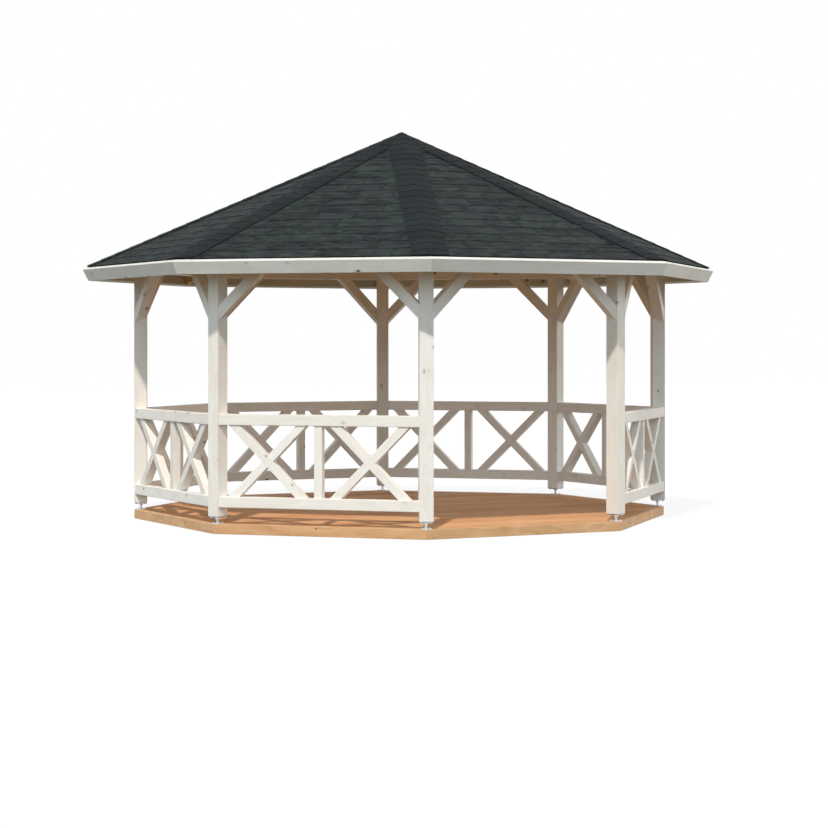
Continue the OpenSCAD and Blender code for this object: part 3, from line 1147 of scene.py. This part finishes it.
# %% [markdown]
# ## Roof boards
# From below, each roof face is a field of tongued boards that run level, with a V groove between them.
# Grooves could be drawn by a bump map, but they are deep enough to catch shadow. One board with eased
# edges is laid in a row down the slope and mitred at the two hips, and the face is copied eight times. It
# is made in the frame of a roof face: X is down the slope from the top, Y is along the eave, Z is square
# to the boards.

# %% Roof boards
ROOF_BOARDS = 27
TONGUE_GAP = 0.0008
GROOVE = 0.005
on_slope = Matrix.Translation(roof_apex) @ Matrix.Rotation(PITCH, 4, "Y")
roof_pitch = (fascia_run - GAP) / ROOF_BOARDS

boards = planed("boards", 2 * SPARE * eave_half, roof_pitch - TONGUE_GAP, ROOF_BOARD_T, GROOVE)
lay(boards, standing(ALONG, OUT, (roof_pitch / 2, 0, -ROOF_BOARD_T / 2)))
row(boards, ROOF_BOARDS, (roof_pitch, 0, 0))
mark_grain(boards, ALONG, log=61, across=OUT, pitch=roof_pitch)
lay(boards, on_slope)
cut_ends(boards, GAP)
dress_round(boards, bay_turns, "tongued_boards_", bare_spruce, "natural_spruce", "roof_boards_")

# %% [markdown]
# ## Fascia
# A fascia board closes the edge of each face. It stands square to the slope, not upright, so its top
# shows from the front as a thin bright line under the shingles. It is planed, laid on the slope and
# mitred like the boards.

# %% Fascia boards
FASCIA_H = 0.120

fascia = planed("fascia", 2 * SPARE * eave_half, FASCIA_T, FASCIA_H, STOUT_EASE)
lay(fascia, standing(ALONG, OUT, (fascia_run + FASCIA_T / 2, 0, -FASCIA_H / 2)))
mark_grain(fascia, ALONG, log=71)
lay(fascia, on_slope)
cut_ends(fascia, GAP)
# The fascia boards take the white finish that is painted greyer and cooler as shade
dress_ring(fascia, bay_turns, "mitred_fascia", shaded_fascia_spruce, "white_stained_spruce", "fascia_boards")

# %% [markdown]
# ## How a shingle lies
# Shingles are laid from the eave up, each lapping the one below, so each is tipped up a little from the
# roof. A bump map would draw the lines, but the butts would throw no shadow. So they are real, thin
# shapes, and the tip follows from the heights of their ends and the exposure, the part that shows.

# %% Lie of a shingle
COURSES = 18
# Heights over the roof boards: a course's underside at its lower edge, and where the next course begins
BUTT_RISE = 0.0078
LAP_RISE = 0.0038
exposure = fascia_run / COURSES
tip = math.atan((BUTT_RISE - LAP_RISE) / exposure)


def tipped(butt, length, thickness, rise):
    """Matrix for a shingle of that length with its lower edge at butt and its underside at rise there."""
    return (Matrix.Translation((butt, 0, rise)) @ Matrix.Rotation(-tip, 4, "Y")
            @ Matrix.Translation((-length / 2, 0, thickness / 2)))


print("exposure", round(exposure, 4), "tip", round(math.degrees(tip), 2), "degrees")

# %% [markdown]
# ## A course of shingles
# A shingle is a metre-long strip with slots that part its lower half into three tabs, and the slots of
# one course are staggered against the next. Slots could be cut out of a strip. Here a course is a row of
# thin tabs over a plain strip, sawn off at the hips, so that every tab can have its own tone.

# %% One course
TAB = 0.333
TAB_T = 0.003
SLOT = 0.004
# The slots of a course are shifted by up to this much, besides half a tab in every second course
TAB_SHIFT = 0.110
STRIP_T = 0.001
STRIP_BACK = 0.020
LAP = 0.045
THIN_EASE = 0.0008
# Room between two layers
CLEAR = 0.0001


def course(number):
    """One course of a roof face, sawn off at the hips."""
    butt = fascia_run - number * exposure
    tab_length = exposure + LAP
    strip_length = tab_length - STRIP_BACK
    half_width = butt * math.cos(PITCH) * math.tan(HALF)
    count = 2 * math.ceil(half_width / TAB) + 2
    start = -TAB * count / 2 + TAB / 2 * (number % 2) + TAB_SHIFT * chance(number + 0.2)
    tabs = planed("tabs", tab_length, TAB - SLOT, TAB_T, THIN_EASE)
    lay(tabs, tipped(butt, tab_length, TAB_T, BUTT_RISE) @ Matrix.Translation((0, start + TAB / 2, 0)))
    row(tabs, count, (0, TAB, 0))
    # The tabs are told apart where their row starts at 0
    lay(tabs, Matrix.Translation((0, -start, 0)))
    mark_grain(tabs, OUT, log=100 + 0.37 * number, across=ALONG, pitch=TAB)
    lay(tabs, Matrix.Translation((0, start, 0)))
    strip = planed("strip", strip_length, 2 * SPARE * half_width + TAB, STRIP_T, STRIP_T / 4)
    strip_rise = BUTT_RISE - STRIP_T - CLEAR - STRIP_BACK * tip
    lay(strip, tipped(butt - STRIP_BACK, strip_length, STRIP_T, strip_rise))
    mark_grain(strip, OUT, log=200 + number)
    for layer in (tabs, strip):
        lay(layer, on_slope)
        cut_ends(layer, GAP)
    return join([tabs, strip], "course")


print("slots", TAB, "m apart")

# %% [markdown]
# ## A roof face of shingles
# Under the first course lies a starter strip, which lifts its lower edge as the other courses are lifted
# by the one below. A thin felt covers the boards and closes the slots from behind. Both are sawn to the
# same hips.

# %% One roof face of shingles
STARTER_L = 0.300
STARTER_EASE = 0.001
# The starter ends before the next butt, and stays back from the drip edge
STARTER_SHARE = 0.9
DRIP = 0.020
FELT_T = 0.0006
FELT_EASE = 0.0001
starter_top = BUTT_RISE - STRIP_T

courses = [course(number) for number in range(COURSES)]
starter = planed("starter", STARTER_L, 2 * SPARE * eave_half, starter_top - 4 * CLEAR, STARTER_EASE)
lay(starter, Matrix.Translation((fascia_run - STARTER_L / 2 - CLEAR, 0, starter_top / 2 - CLEAR)))
saw(starter, (fascia_run - exposure * STARTER_SHARE, 0, 0), -OUT)
saw(starter, (fascia_run - DRIP, 0, 0), OUT)
saw(starter, (fascia_run, 0, starter_top), (-math.sin(tip), 0, math.cos(tip)))
felt = planed("felt", fascia_run, 2 * SPARE * eave_half, FELT_T, FELT_EASE)
lay(felt, Matrix.Translation((fascia_run / 2, 0, FELT_T / 2 + 2 * CLEAR)))
for number, layer in enumerate((starter, felt)):
    mark_grain(layer, OUT, log=301 + number)
    lay(layer, on_slope)
    cut_ends(layer, GAP)
shingles = join(courses + [starter, felt], "shingles")
print("one face", len(shingles.data.polygons), "faces")

# %% [markdown]
# ## Shingles of eight faces
# The face is copied to all bays and joined into one piece. Each copy has fresh tones, so that the eye
# finds no repeat.

# %% Eight faces
dress_ring(shingles, bay_turns, "shingle_courses", roof_bitumen, "bitumen_shingle", "roof_shingles")

# %% [markdown]
# ## Hip caps
# Single tabs are folded over the hips, from the eave up, so that no water gets in where two faces meet.
# One cap starts as a flat bar, a bisect puts a fold line down its middle, and its two long sides are
# moved down until they lie parallel to the roof faces. Tipped like a shingle, it is laid in a row up the
# hip, trimmed at the eave and mitred at the top with its neighbours.

# %% Hip caps
CAP_W = 0.306
CAP_T = 0.003
CAP_EXPOSURE = 0.145
CAP_LAP = 0.030
# Heights over the hip: a cap's underside at its lower edge, and where the next cap begins
CAP_BUTT = 0.0164
CAP_HEAD = 0.0132
cap_length = CAP_EXPOSURE + CAP_LAP
cap_tip = math.atan((CAP_BUTT - CAP_HEAD) / CAP_EXPOSURE)
fold = math.tan(PITCH) * math.sin(HALF) * math.cos(HIP_SLOPE)
hip_length = fascia_run * math.cos(PITCH) / math.cos(HALF) / math.cos(HIP_SLOPE)
cap_count = math.ceil(hip_length / CAP_EXPOSURE)

caps = planed("caps", cap_length, CAP_W, CAP_T, THIN_EASE)
edit_all(caps)
bpy.ops.mesh.bisect(plane_co=(0, 0, 0), plane_no=ALONG)
bpy.ops.object.mode_set(mode="OBJECT")
open_edges(caps, lambda a, b: min(abs(a.y), abs(b.y)) > CAP_W / 4)
bpy.ops.transform.translate(value=(0, 0, -fold * CAP_W / 2))
bpy.ops.object.mode_set(mode="OBJECT")
lay(caps, Matrix.Translation((hip_length, 0, CAP_BUTT)) @ Matrix.Rotation(-cap_tip, 4, "Y")
    @ Matrix.Translation((-cap_length / 2, 0, CAP_T / 2)))
row(caps, cap_count, (-CAP_EXPOSURE, 0, 0))
mark_grain(caps, OUT, log=81, across=OUT, pitch=CAP_EXPOSURE)
lay(caps, Matrix.Translation(roof_apex) @ Matrix.Rotation(HIP_SLOPE, 4, "Y"))
for side in (-1, 1):
    saw(caps, roof_apex + face_down(side) * fascia_run, face_down(side))
cut_ends(caps, GAP)
dress_ring(caps, corner_turns, "folded_hip_caps", cap_bitumen, "bitumen_shingle", "hip_caps")
